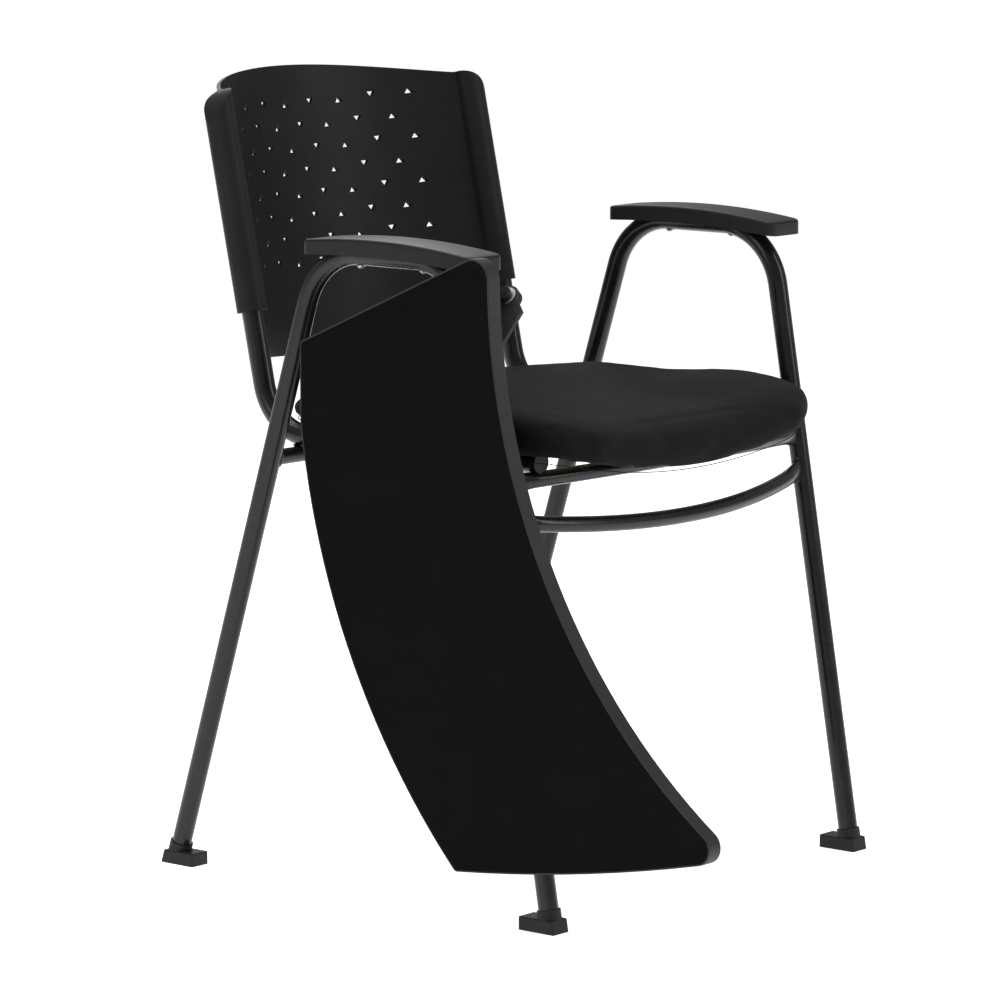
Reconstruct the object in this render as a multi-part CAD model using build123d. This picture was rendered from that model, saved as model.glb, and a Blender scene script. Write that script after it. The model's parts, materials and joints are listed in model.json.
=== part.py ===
from build123d import *
import math
import os

# Student desk chair with a writing tablet. Millimetres.
# +Z up, the sitter faces -Y, and the tablet hangs on the -X side (the sitter's right).

os.makedirs("parts", exist_ok=True)

# ---- Overall sizes
FRAME_WIDTH = 490.0  # between the two side frames' tube axes
FOOT_SPREAD = 495.6  # between front and rear leg axes, on the floor
ARM_HEIGHT = 640.0  # axis of the arm run above the floor
SEAT_TUBE_HEIGHT = 447.0  # axis of the tubes under the seat
BACK_TUBE_LENGTH = 300.0  # from the seat corner up the lean to the tube's top

# ---- Side frame: one bent tube for both legs and the arm
LEG_TUBE = 20.0
LEG_WALL = 1.5
LEG_BEND_RADIUS = 72.0
REAR_LEG_LEAN = 0.312  # forward run per unit of height
FRONT_LEG_LEAN = 0.172  # rearward run per unit of height
TUBE_END_HEIGHT = 8.0  # leg tube's lower end above the floor, inside the shoe

# ---- Shoes
SHOE_SIZE = 24.0
SHOE_RISER = 22.0
SHOE_TONGUE_HEIGHT = 13.5
SHOE_TONGUE_REACH = 20.0
SHOE_SOCKET_WALL = 1.8
SHOE_ROUNDING = 1.5

# ---- Cross tubes
RAIL_TUBE = 16.0
RAIL_WALL = 1.5
PINCH_HEIGHT = 24.0
PINCH_THICKNESS = 6.0
PINCH_LENGTH = 46.0
STRETCHER_HEIGHT = 393.4  # where the front stretcher meets the legs
STRETCHER_BOW = 41.0  # forward of the leg axes at its middle
STRETCHER_DROP = 17.0
FRONT_RAIL_HEIGHT = 427.5
FRONT_RAIL_BOW = 42.0
FRONT_RAIL_RISE = 7.0
TUBE_NOTCH = 1.0  # depth of the rear rail's saddle under each seat tube

# ---- Seat and back tubes
SEAT_TUBE = 22.0
SEAT_TUBE_WALL = 1.5
SEAT_TUBE_SPACING = 392.0
SEAT_TUBE_OVERHANG = 21.1  # seat tube's front end ahead of the front leg axes
SEAT_CORNER_SETBACK = 48.8  # seat corner behind the rear leg axes
SEAT_BEND_RADIUS = 60.0
BACK_LEAN = 0.215
PLUG_CAP = 2.5
PLUG_DEPTH = 14.0
PLUG_CLEARANCE = 0.05

# ---- Back shell, in the leaning frame (x across, y rearward, z up the back)
SHELL_THICKNESS = 4.0
SHELL_INNER_RADIUS = 240.0
SHELL_DEPTH = 88.0  # inner face behind the tube axes at the middle
SLEEVE_RADIUS = 15.5
SLEEVE_CLEARANCE = 0.15
SLEEVE_HEADROOM = 3.0
SLEEVE_BOTTOM = 123.0
SHELL_TOP_SIDE = 338.0
SHELL_TOP_RISE = 42.0
SHELL_CORNER = 46.0
SHELL_BLEND = 9.0  # rounding where the panel runs into a sleeve
LOBE_BOTTOM = 77.0
LOBE_HALF_WIDTH = 172.0
LOBE_CORNER = 35.0
VENT_SIDE = 8.5
VENT_ROWS = 8
VENT_ROW_PITCH = 23.9
VENT_PITCH = 36.0
VENT_TOP = 339.0
VENT_COLUMNS = 9
SHELL_SCREW_LEVELS = (150.0, 280.0)
SHELL_SCREW_RADIUS = 2.0
SHELL_SCREW_HEAD_RADIUS = 4.2
SHELL_SCREW_HEAD = 2.6
SHELL_SCREW_GRIP = 8.5

# ---- Seat
SEAT_WIDTH_FRONT = 444.0
SEAT_WIDTH_REAR = 410.0
SEAT_FRONT_REACH = 43.0  # cushion's front corners ahead of the seat tubes' ends
SEAT_REAR_REACH = 7.9  # cushion's rear edge behind the seat corner
SEAT_FRONT_BULGE = 13.0
SEAT_FRONT_CORNER = 60.0
SEAT_REAR_CORNER = 75.0
PAN_INSET = 20.0
PAN_FRONT_INSET = 34.0
PAN_THICKNESS = 9.0
CUSHION_CLEARANCE = 0.3
CUSHION_THICKNESS = 17.5
LIP_INSET = 19.0  # front lip's inner face behind the cushion's front edge
LIP_DROP = 37.0
SKIRT_INSET = 13.0
SKIRT_DROP = 27.0
SKIRT_REAR = 115.0  # side skirts stop this far ahead of the cushion's rear edge
CUSHION_ROUNDING = 8.0
SEAT_BOLT_FRONT = 42.0  # front bolts behind the seat tubes' ends
SEAT_BOLT_REAR = 87.1  # rear bolts ahead of the seat corner
SEAT_BOLT_RADIUS = 3.0
SEAT_BOLT_HEAD_RADIUS = 5.5
SEAT_BOLT_HEAD = 3.5
SEAT_BOLT_CLEARANCE = 0.3
INSERT_RADIUS = 4.5
INSERT_DEPTH = 8.0

# ---- Arm pads
PAD_WIDTH = 52.0
PAD_OFFSET = -5.0  # pad's middle, inward of the tube axis
PAD_REAR_REACH = 6.5  # pad's ends past the side frame's corners
PAD_FRONT_REACH = 25.3
PAD_TOP_REAR = 13.0  # heights from the arm run's axis
PAD_TOP_MIDDLE = 17.5
PAD_TOP_FRONT = 8.0
PAD_BASE_REAR = -1.5
PAD_BASE_MIDDLE = 0.5
PAD_BASE_FRONT = -6.5
PAD_CORNER = 10.0
PAD_EDGE = 3.0
PAD_CLEARANCE = 0.2
ARM_SCREW_INSETS = (49.7, 55.1)  # screws inside the side frame's front and rear corners
ARM_SCREW_RADIUS = 2.2
ARM_SCREW_HEAD_RADIUS = 4.5
ARM_SCREW_HEAD = 3.5
ARM_SCREW_BITE = 13.0  # above the tube's axis
ARM_SCREW_CLEARANCE = 0.2

# ---- Tablet board, hanging at the side: corners of its outline, (rearward, up) from the pivot
BOARD_THICKNESS = 18.0
BOARD_GAP = 23.0  # board's inner face outside the leg tube's axis
BAND_THICKNESS = 2.0
BOARD_REAR_TOP = (203.0, -48.5)
BOARD_REAR_BEND = (203.0, -126.0)
BOARD_FRONT_TOP = (-37.8, 57.2)
BOARD_FRONT_BOTTOM = (-328.0, -494.0)
BOARD_REAR_BOTTOM = (5.0, -550.0)
BOARD_FRONT_RADIUS = 626.0
BOARD_REAR_RADIUS = 735.7
BOARD_BOTTOM_RADIUS = 2131.0
BOARD_FRONT_TOP_CORNER = 20.0
BOARD_FRONT_BOTTOM_CORNER = 16.0
BOARD_REAR_BOTTOM_CORNER = 6.0
BOARD_REAR_TOP_CORNER = 5.0

# ---- Tablet hinge: one pivot on an axis that leans outward at 45 degrees
PIVOT_IN = 33.0  # pivot inward of the leg tube's axis
PIVOT_DOWN = 36.0  # pivot below the arm run's axis
PIVOT_FORWARD = 21.1  # pivot ahead of the front leg's axis
HINGE_PLATE = 4.0
HINGE_BOSS_RADIUS = 14.0
WASHER_THICKNESS = 0.8
WASHER_GAP = 0.1
WASHER_RADIUS = 11.0
PIVOT_RADIUS = 4.0
PIVOT_CLEARANCE = 0.06
BRACKET_HOLE_CLEARANCE = 0.2
PIVOT_HEAD_RADIUS = 8.0
PIVOT_HEAD = 5.0
NUT_WIDTH = 13.0
NUT_HEIGHT = 5.6
BRACKET_REAR = 29.0  # bracket's rear edge behind the pivot
BRACKET_FRONT = -6.0
BRACKET_DROP = 36.0
STRAP_FRONT = -29.0
STRAP_REAR = -2.0
FLANGE_DROP = 56.0
FLANGE_REAR = 19.0
FLANGE_FRONT = -28.0
WOOD_SCREW_RADIUS = 1.8
WOOD_SCREW_HEAD_RADIUS = 3.6
WOOD_SCREW_HEAD = 2.4
WOOD_SCREW_BITE = 14.0
WOOD_SCREW_CLEARANCE = 0.2
WOOD_SCREW_EDGE = 11.0  # screw centres from the flange's edges

SIDES = {"right": -1, "left": 1}
REACH = 2000.0  # longer than anything in the chair
parts = {}


# ---- Places worked out from the sizes
def leg_y(end, height):
    """Y of a leg's axis at a height; end is -1 for the front leg and +1 for the rear."""
    lean = REAR_LEG_LEAN if end > 0 else FRONT_LEG_LEAN
    return end * (FOOT_SPREAD / 2 - lean * height)


def side_x(side):
    return side * FRAME_WIDTH / 2


def seat_x(side):
    return side * SEAT_TUBE_SPACING / 2


arm_rear = leg_y(1, ARM_HEIGHT)
arm_front = leg_y(-1, ARM_HEIGHT)
arm_screw_places = (arm_front + ARM_SCREW_INSETS[0], arm_rear - ARM_SCREW_INSETS[1])
seat_corner = leg_y(1, SEAT_TUBE_HEIGHT) + SEAT_CORNER_SETBACK
seat_tube_front = leg_y(-1, SEAT_TUBE_HEIGHT) - SEAT_TUBE_OVERHANG
seat_bolt_places = (seat_tube_front + SEAT_BOLT_FRONT, seat_corner - SEAT_BOLT_REAR)
seat_front = seat_tube_front - SEAT_FRONT_REACH
seat_rear = seat_corner + SEAT_REAR_REACH
pivot_z = ARM_HEIGHT - PIVOT_DOWN
pivot_y = leg_y(-1, pivot_z) - PIVOT_FORWARD


def nearest_corner(shape, point):
    return shape.vertices().sort_by_distance(Vector(*point))[0]


lean_plane = Plane(
    origin=(0, seat_corner, SEAT_TUBE_HEIGHT), x_dir=(1, 0, 0), z_dir=(0, BACK_LEAN, 1)
)
pan_base = SEAT_TUBE_HEIGHT + SEAT_TUBE / 2
pan_top = pan_base + PAN_THICKNESS
cushion_base = pan_top + CUSHION_CLEARANCE
cushion_top = cushion_base + CUSHION_THICKNESS


# ---- Tube helpers
def swept(path, radius):
    section = Plane(origin=path @ 0, z_dir=path % 0) * Circle(radius)
    return sweep(section, path=path)


def rod(start, end, radius):
    """A round bar between two points."""
    axis = Vector(*end) - Vector(*start)
    return extrude(Plane(origin=start, z_dir=axis) * Circle(radius), axis.length)


def block(low, high):
    size = [b - a for a, b in zip(low, high)]
    middle = [(a + b) / 2 for a, b in zip(low, high)]
    return Pos(*middle) * Box(*size)


# ---- Side frames
def side_path(side):
    ends = [(leg_y(end, TUBE_END_HEIGHT), TUBE_END_HEIGHT) for end in (1, -1)]
    corners = [(leg_y(end, ARM_HEIGHT), ARM_HEIGHT) for end in (1, -1)]
    line = FilletPolyline(ends[0], *corners, ends[1], radius=LEG_BEND_RADIUS)
    return Plane.YZ.offset(side_x(side)) * line


def arm_screw_hole(side, place, radius):
    x = side_x(side)
    low = ARM_HEIGHT - LEG_TUBE
    return rod((x, place, low), (x, place, ARM_HEIGHT + ARM_SCREW_BITE), radius)


side_solids = {side: swept(side_path(side), LEG_TUBE / 2) for side in SIDES.values()}
for name, side in SIDES.items():
    tube = side_solids[side] - swept(side_path(side), LEG_TUBE / 2 - LEG_WALL)
    for place in arm_screw_places:
        tube -= arm_screw_hole(side, place, ARM_SCREW_RADIUS + ARM_SCREW_CLEARANCE)
    parts[f"side_frame_{name}"] = tube


# ---- Shoes
def shoe(side, end):
    foot = leg_y(end, 0)
    half = SHOE_SIZE / 2
    lean = foot - leg_y(end, SHOE_TONGUE_HEIGHT)
    profile = Polyline(
        (foot + end * half, 0),
        (foot + end * half - lean, SHOE_TONGUE_HEIGHT),
        (foot - end * (half + SHOE_TONGUE_REACH), SHOE_TONGUE_HEIGHT),
        (foot - end * (half + SHOE_TONGUE_REACH), 0),
        close=True,
    )
    face = Plane.YZ.offset(side_x(side) - half) * make_face(profile)
    solid = extrude(face, SHOE_SIZE, dir=(1, 0, 0))
    floor_edges = solid.edges().group_by(Axis.Z)[0]
    solid = fillet(solid.edges() - floor_edges, SHOE_ROUNDING)
    x = side_x(side)
    low = (x, leg_y(end, TUBE_END_HEIGHT), TUBE_END_HEIGHT)
    high = (x, leg_y(end, SHOE_RISER), SHOE_RISER)
    solid += rod(low, high, LEG_TUBE / 2 + SHOE_SOCKET_WALL)
    return solid - side_solids[side]


for name, side in SIDES.items():
    parts[f"foot_front_{name}"] = shoe(side, -1)
    parts[f"foot_rear_{name}"] = shoe(side, 1)


# ---- Bowed cross tubes with pinched ends, coped to the front legs
def bow_solid(path, radius, pinch_half_height, pinch_half_thickness):
    share = PINCH_LENGTH / path.length
    middle = path.trim(share, 1 - share)
    solid = swept(middle, radius)
    for at_round, at_flat in ((share, 0), (1 - share, 1)):
        round_plane = Plane(origin=path @ at_round, x_dir=(0, 0, 1), z_dir=path % at_round)
        flat_plane = Plane(origin=path @ at_flat, x_dir=(0, 0, 1), z_dir=path % at_flat)
        flat = flat_plane * Ellipse(pinch_half_height, pinch_half_thickness)
        solid += loft([round_plane * Circle(radius), flat])
    return solid


def bow(height, forward, rise):
    end_y = leg_y(-1, height)
    reach = FRAME_WIDTH / 2
    path = ThreePointArc(
        (-reach, end_y, height), (0, end_y - forward, height + rise), (reach, end_y, height)
    )
    outer = bow_solid(path, RAIL_TUBE / 2, PINCH_HEIGHT / 2, PINCH_THICKNESS / 2)
    inner = bow_solid(
        path,
        RAIL_TUBE / 2 - RAIL_WALL,
        PINCH_HEIGHT / 2 - RAIL_WALL,
        PINCH_THICKNESS / 2 - RAIL_WALL,
    )
    return outer - inner - side_solids[-1] - side_solids[1]


# ---- Seat and back tubes
def seat_path(side):
    top = lean_plane.from_local_coords((0, 0, BACK_TUBE_LENGTH))
    line = FilletPolyline(
        (seat_tube_front, SEAT_TUBE_HEIGHT),
        (seat_corner, SEAT_TUBE_HEIGHT),
        (top.Y, top.Z),
        radius=SEAT_BEND_RADIUS,
    )
    return Plane.YZ.offset(seat_x(side)) * line


def seat_bolt_hole(side, place, radius, top):
    x = seat_x(side)
    return rod((x, place, SEAT_TUBE_HEIGHT - SEAT_TUBE), (x, place, top), radius)


def shell_screw(side, level, radius, start, end):
    x = seat_x(side)
    return lean_plane * rod((x, start, level), (x, end, level), radius)


seat_tube_solids = {side: swept(seat_path(side), SEAT_TUBE / 2) for side in SIDES.values()}
for name, side in SIDES.items():
    tube = seat_tube_solids[side] - swept(seat_path(side), SEAT_TUBE / 2 - SEAT_TUBE_WALL)
    for place in seat_bolt_places:
        tube -= seat_bolt_hole(side, place, SEAT_BOLT_RADIUS + SEAT_BOLT_CLEARANCE, pan_base)
    for level in SHELL_SCREW_LEVELS:
        tube -= shell_screw(side, level, SHELL_SCREW_RADIUS, 0, SLEEVE_RADIUS)
    parts[f"back_tube_{name}"] = tube
    front = (seat_x(side), seat_tube_front, SEAT_TUBE_HEIGHT)
    cap_end = (seat_x(side), seat_tube_front - PLUG_CAP, SEAT_TUBE_HEIGHT)
    spigot_end = (seat_x(side), seat_tube_front + PLUG_DEPTH, SEAT_TUBE_HEIGHT)
    spigot_radius = SEAT_TUBE / 2 - SEAT_TUBE_WALL - PLUG_CLEARANCE
    plug = rod(front, cap_end, SEAT_TUBE / 2) + rod(front, spigot_end, spigot_radius)
    parts[f"seat_tube_plug_{name}"] = plug

parts["front_stretcher"] = bow(STRETCHER_HEIGHT, STRETCHER_BOW, -STRETCHER_DROP)
front_rail = bow(FRONT_RAIL_HEIGHT, FRONT_RAIL_BOW, FRONT_RAIL_RISE)
for name, side in SIDES.items():
    front_rail -= seat_tube_solids[side]
    front_rail -= parts[f"seat_tube_plug_{name}"]
parts["seat_front_rail"] = front_rail

rear_rail_height = SEAT_TUBE_HEIGHT - SEAT_TUBE / 2 - RAIL_TUBE / 2 + TUBE_NOTCH
rear_rail_y = leg_y(1, rear_rail_height)
rail_ends = [(x * FRAME_WIDTH / 2, rear_rail_y, rear_rail_height) for x in (-1, 1)]
rear_rail = rod(*rail_ends, RAIL_TUBE / 2) - rod(*rail_ends, RAIL_TUBE / 2 - RAIL_WALL)
for side in SIDES.values():
    rear_rail -= side_solids[side]
    rear_rail -= seat_tube_solids[side]
parts["seat_rear_rail"] = rear_rail


# ---- Back shell
def shell_outline():
    side = SEAT_TUBE_SPACING / 2 + SLEEVE_RADIUS + 0.5
    upper = make_face(
        Polyline(
            (-side, SHELL_TOP_SIDE), (-side, SLEEVE_BOTTOM), (side, SLEEVE_BOTTOM), (side, SHELL_TOP_SIDE)
        )
        + ThreePointArc(
            (-side, SHELL_TOP_SIDE), (0, SHELL_TOP_SIDE + SHELL_TOP_RISE), (side, SHELL_TOP_SIDE)
        )
    )
    top_corners = [nearest_corner(upper, (x, SHELL_TOP_SIDE, 0)) for x in (-side, side)]
    upper = fillet(top_corners, SHELL_CORNER)
    lobe_height = SLEEVE_BOTTOM - LOBE_BOTTOM + 2 * LOBE_CORNER
    lobe = Pos(0, LOBE_BOTTOM + lobe_height / 2) * RectangleRounded(
        2 * LOBE_HALF_WIDTH, lobe_height, LOBE_CORNER
    )
    return upper + lobe


def vents():
    """Small triangular vents, pointing up and down in turn, in staggered rows."""
    cutters = []
    for row in range(VENT_ROWS):
        count = VENT_COLUMNS - row % 2
        for column in range(count):
            x = (column - (count - 1) / 2) * VENT_PITCH
            level = VENT_TOP - row * VENT_ROW_PITCH
            turn = 180 * ((row + column) % 2)
            triangle = Triangle(a=VENT_SIDE, b=VENT_SIDE, c=VENT_SIDE, align=Align.CENTER)
            place = Plane.XZ * Pos(x, level) * Rot(0, 0, turn)
            cutters.append(extrude(place * triangle, -SHELL_INNER_RADIUS))
    return cutters


def shell_section():
    """The shell seen along the back: an arc band that runs into a sleeve at each end."""
    half_seat = SEAT_TUBE_SPACING / 2
    arc_centre = Pos(0, SHELL_DEPTH - SHELL_INNER_RADIUS)
    band = arc_centre * (
        Circle(SHELL_INNER_RADIUS + SHELL_THICKNESS) - Circle(SHELL_INNER_RADIUS)
    )
    band &= Pos(0, SHELL_INNER_RADIUS) * Rectangle(
        2 * half_seat, 2 * (SHELL_INNER_RADIUS + SLEEVE_RADIUS)
    )
    section = band + [Pos(x, 0) * Circle(SLEEVE_RADIUS) for x in (-half_seat, half_seat)]
    corners = section.vertices().filter_by(lambda v: abs(v.X) < half_seat)
    return fillet(corners, SHELL_BLEND)


shell_top = SHELL_TOP_SIDE + SHELL_TOP_RISE
shell = extrude(shell_section(), shell_top + SHELL_THICKNESS)
outline_block = extrude(Plane.XZ * shell_outline(), REACH, both=True)
shell &= outline_block
for side in SIDES.values():
    x = seat_x(side)
    bore_top = BACK_TUBE_LENGTH + SLEEVE_HEADROOM
    shell -= rod((x, 0, 0), (x, 0, bore_top), SEAT_TUBE / 2 + SLEEVE_CLEARANCE)
shell -= vents()
shell = lean_plane * shell
screws = []
for side in SIDES.values():
    for level in SHELL_SCREW_LEVELS:
        grip = SEAT_TUBE / 2 - SEAT_TUBE_WALL - 1
        shank = shell_screw(side, level, SHELL_SCREW_RADIUS, grip, SLEEVE_RADIUS)
        head_end = SLEEVE_RADIUS + SHELL_SCREW_HEAD
        head = shell_screw(side, level, SHELL_SCREW_HEAD_RADIUS, SLEEVE_RADIUS - 1.5, head_end)
        head -= shell
        screws.append(head + shank)
        shell -= shank
parts["back_shell"] = shell
parts["back_shell_screws"] = Compound(screws)


# ---- Seat pan, cushion and their fastenings
def seat_outline():
    front = SEAT_WIDTH_FRONT / 2
    rear = SEAT_WIDTH_REAR / 2
    edges = Polyline((front, seat_front), (rear, seat_rear), (-rear, seat_rear), (-front, seat_front))
    edges += ThreePointArc(
        (-front, seat_front), (0, seat_front - SEAT_FRONT_BULGE), (front, seat_front)
    )
    face = make_face(edges)
    for x in (-front, front):
        face = fillet(nearest_corner(face, (x, seat_front, 0)), SEAT_FRONT_CORNER)
    for x in (-rear, rear):
        face = fillet(nearest_corner(face, (x, seat_rear, 0)), SEAT_REAR_CORNER)
    return face


outline = seat_outline()
pan = extrude(Pos(0, 0, pan_base) * offset(outline, -PAN_INSET), PAN_THICKNESS)
pan &= block((-REACH, seat_front - SEAT_FRONT_BULGE + PAN_FRONT_INSET, 0), (REACH, REACH, REACH))
cushion_body = extrude(Pos(0, 0, cushion_top - REACH) * outline, REACH)
lip_back = seat_front - SEAT_FRONT_BULGE + LIP_INSET
skirt_inner = SEAT_WIDTH_FRONT / 2 - SKIRT_INSET
slab = block((-REACH, -REACH, cushion_base), (REACH, REACH, cushion_top))
lip = block((-REACH, -REACH, cushion_base - LIP_DROP), (REACH, lip_back, cushion_top))
cushion_region = slab + lip
for side in SIDES.values():
    skirt_low = cushion_base - SKIRT_DROP
    inner, outer = sorted((side * skirt_inner, side * REACH))
    cushion_region += block((inner, lip_back - 1, skirt_low), (outer, seat_rear - SKIRT_REAR, cushion_top))
cushion = cushion_body & cushion_region
cushion = fillet(cushion.faces().sort_by(Axis.Z)[-1].edges(), CUSHION_ROUNDING)

bolts = []
inserts = []
insert_top = pan_base + INSERT_DEPTH
for side in SIDES.values():
    for place in seat_bolt_places:
        x = seat_x(side)
        under = SEAT_TUBE_HEIGHT - SEAT_TUBE / 2
        hole = rod((x, place, pan_base), (x, place, insert_top), INSERT_RADIUS)
        pan -= hole
        inserts.append(hole - seat_bolt_hole(side, place, SEAT_BOLT_RADIUS, insert_top))
        head = rod((x, place, under - SEAT_BOLT_HEAD), (x, place, under + 1), SEAT_BOLT_HEAD_RADIUS)
        shank = rod((x, place, under - 1), (x, place, insert_top), SEAT_BOLT_RADIUS)
        bolts.append(head - seat_tube_solids[side] + shank)
parts["seat_pan"] = pan
parts["seat_cushion"] = cushion
parts["seat_bolts"] = Compound(bolts)
parts["seat_inserts"] = Compound(inserts)


# ---- Arm pads and their screws
def pad_profile():
    pad_rear = arm_rear + PAD_REAR_REACH
    pad_front = arm_front - PAD_FRONT_REACH
    middle = (pad_rear + pad_front) / 2
    z = ARM_HEIGHT
    edges = ThreePointArc(
        (pad_rear, z + PAD_TOP_REAR), (middle, z + PAD_TOP_MIDDLE), (pad_front, z + PAD_TOP_FRONT)
    )
    edges += ThreePointArc(
        (pad_rear, z + PAD_BASE_REAR), (middle, z + PAD_BASE_MIDDLE), (pad_front, z + PAD_BASE_FRONT)
    )
    edges += Line((pad_rear, z + PAD_TOP_REAR), (pad_rear, z + PAD_BASE_REAR))
    edges += Line((pad_front, z + PAD_TOP_FRONT), (pad_front, z + PAD_BASE_FRONT))
    return make_face(edges)


for name, side in SIDES.items():
    middle = side_x(side) + side * PAD_OFFSET
    face = Plane.YZ.offset(middle - PAD_WIDTH / 2) * pad_profile()
    pad = extrude(face, PAD_WIDTH, dir=(1, 0, 0))
    corners = pad.edges().filter_by(Axis.Z)
    pad = fillet(corners, PAD_CORNER)
    rim = pad.faces().sort_by(Axis.Z)[-1].edges()
    pad = fillet(rim, PAD_EDGE)
    pad -= swept(side_path(side), LEG_TUBE / 2 + PAD_CLEARANCE)
    screws = []
    for place in arm_screw_places:
        x = side_x(side)
        under = ARM_HEIGHT - LEG_TUBE / 2
        pad -= arm_screw_hole(side, place, ARM_SCREW_RADIUS)
        head = rod((x, place, under - ARM_SCREW_HEAD), (x, place, under), ARM_SCREW_HEAD_RADIUS)
        top = ARM_HEIGHT + ARM_SCREW_BITE
        shank = rod((x, place, under - 1), (x, place, top), ARM_SCREW_RADIUS)
        screws.append(head - side_solids[side] + shank)
    parts[f"arm_pad_{name}"] = pad
    parts[f"arm_screws_{name}"] = Compound(screws)


# ---- Tablet board and its edge band
def board_point(place):
    """A corner's (y, z) from its place round the pivot."""
    return (pivot_y + place[0], pivot_z + place[1])


def tablet_outline():
    """The board's face in (y, z): a straight top and three long arcs."""
    rear_top = board_point(BOARD_REAR_TOP)
    rear_bend = board_point(BOARD_REAR_BEND)
    front_top = board_point(BOARD_FRONT_TOP)
    front_bottom = board_point(BOARD_FRONT_BOTTOM)
    rear_bottom = board_point(BOARD_REAR_BOTTOM)
    edges = Line(front_top, rear_top)
    edges += Line(rear_top, rear_bend)
    edges += RadiusArc(rear_bend, rear_bottom, BOARD_REAR_RADIUS)
    edges += RadiusArc(rear_bottom, front_bottom, BOARD_BOTTOM_RADIUS)
    edges += RadiusArc(front_bottom, front_top, -BOARD_FRONT_RADIUS)
    face = make_face(edges)
    corners = (
        (front_top, BOARD_FRONT_TOP_CORNER),
        (front_bottom, BOARD_FRONT_BOTTOM_CORNER),
        (rear_bottom, BOARD_REAR_BOTTOM_CORNER),
        (rear_top, BOARD_REAR_TOP_CORNER),
    )
    for point, radius in corners:
        face = fillet(nearest_corner(face, (*point, 0)), radius)
    return face


board_inner_x = side_x(-1) - BOARD_GAP
board_plane = Plane.YZ.offset(board_inner_x - BOARD_THICKNESS)
board_face = tablet_outline()
core_face = offset(board_face, -BAND_THICKNESS)
board = extrude(board_plane * core_face, BOARD_THICKNESS)
parts["tablet_edging"] = extrude(board_plane * (board_face - core_face), BOARD_THICKNESS)

# ---- Tablet hinge, in the pivot's own frame (x rearward, y down and outward, z outward and up)
pivot_origin = Vector(side_x(-1) + PIVOT_IN, pivot_y, pivot_z)
pivot_plane = Plane(origin=pivot_origin, x_dir=(0, 1, 0), z_dir=(-1, 0, 1))
slope = math.sqrt(0.5)


def pivot_disc(low, high, radius):
    return rod((0, 0, low), (0, 0, high), radius)


def washer(low, radius):
    top = low + WASHER_THICKNESS
    return pivot_disc(low, top, radius) - pivot_disc(low, top, PIVOT_RADIUS)


# Bracket: an oblique plate under the pivot and a plate welded on the leg tube's inner flank.
flank_x = side_x(-1) + LEG_TUBE / 2
ledge = (pivot_origin.X - flank_x) / slope - HINGE_PLATE / 2
plate_face = Circle(HINGE_BOSS_RADIUS) + make_face(
    Polyline(
        (-HINGE_BOSS_RADIUS, 0),
        (HINGE_BOSS_RADIUS, 0),
        (BRACKET_REAR, ledge),
        (BRACKET_FRONT, ledge),
        close=True,
    )
)
bracket = extrude(Pos(0, 0, -HINGE_PLATE) * plate_face, HINGE_PLATE)
bracket -= pivot_disc(-HINGE_PLATE, 0, PIVOT_RADIUS + BRACKET_HOLE_CLEARANCE)
bracket = pivot_plane * bracket
flank_top = pivot_origin.Z - (pivot_origin.X - flank_x)
bracket += block(
    (flank_x, pivot_y + BRACKET_FRONT, flank_top - BRACKET_DROP),
    (flank_x + HINGE_PLATE, pivot_y + BRACKET_REAR, flank_top),
)
parts["hinge_bracket"] = bracket

# Arm: a strap on the pivot and a flange against the board.
strap_low = WASHER_THICKNESS + 2 * WASHER_GAP
strap_high = strap_low + HINGE_PLATE
flange_x = board_inner_x + HINGE_PLATE
strap_end = (pivot_origin.X - board_inner_x) / slope - strap_high
strap_face = Circle(HINGE_BOSS_RADIUS) + make_face(
    Polyline(
        (-HINGE_BOSS_RADIUS, 0),
        (STRAP_FRONT, HINGE_BOSS_RADIUS),
        (STRAP_FRONT, strap_end),
        (STRAP_REAR, strap_end),
        (STRAP_REAR, HINGE_BOSS_RADIUS),
        (HINGE_BOSS_RADIUS, 0),
        close=True,
    )
)
hinge_arm = extrude(Pos(0, 0, strap_low) * strap_face, HINGE_PLATE)
hinge_arm -= pivot_disc(strap_low, strap_high, PIVOT_RADIUS + PIVOT_CLEARANCE)
hinge_arm = pivot_plane * hinge_arm
flange_top = pivot_plane.from_local_coords((0, strap_end, strap_high)).Z
flange_low = flange_top - FLANGE_DROP
flange_front = pivot_y + FLANGE_FRONT
flange_rear = pivot_y + FLANGE_REAR
hinge_arm += block((board_inner_x, flange_front, flange_low), (flange_x, flange_rear, flange_top))
screws = []
for y in (flange_front + WOOD_SCREW_EDGE, flange_rear - WOOD_SCREW_EDGE):
    for z in (flange_low + WOOD_SCREW_EDGE, flange_top - 1.5 * WOOD_SCREW_EDGE):
        tip = (board_inner_x - WOOD_SCREW_BITE, y, z)
        shank = rod(tip, (flange_x + 1, y, z), WOOD_SCREW_RADIUS)
        head = rod((flange_x, y, z), (flange_x + WOOD_SCREW_HEAD, y, z), WOOD_SCREW_HEAD_RADIUS)
        hole = rod(tip, (flange_x + 1, y, z), WOOD_SCREW_RADIUS + WOOD_SCREW_CLEARANCE)
        board -= shank
        hinge_arm -= hole
        screws.append(head + shank)
parts["hinge_arm"] = hinge_arm
parts["hinge_arm_screws"] = Compound(screws)
parts["tablet_board"] = board

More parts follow.
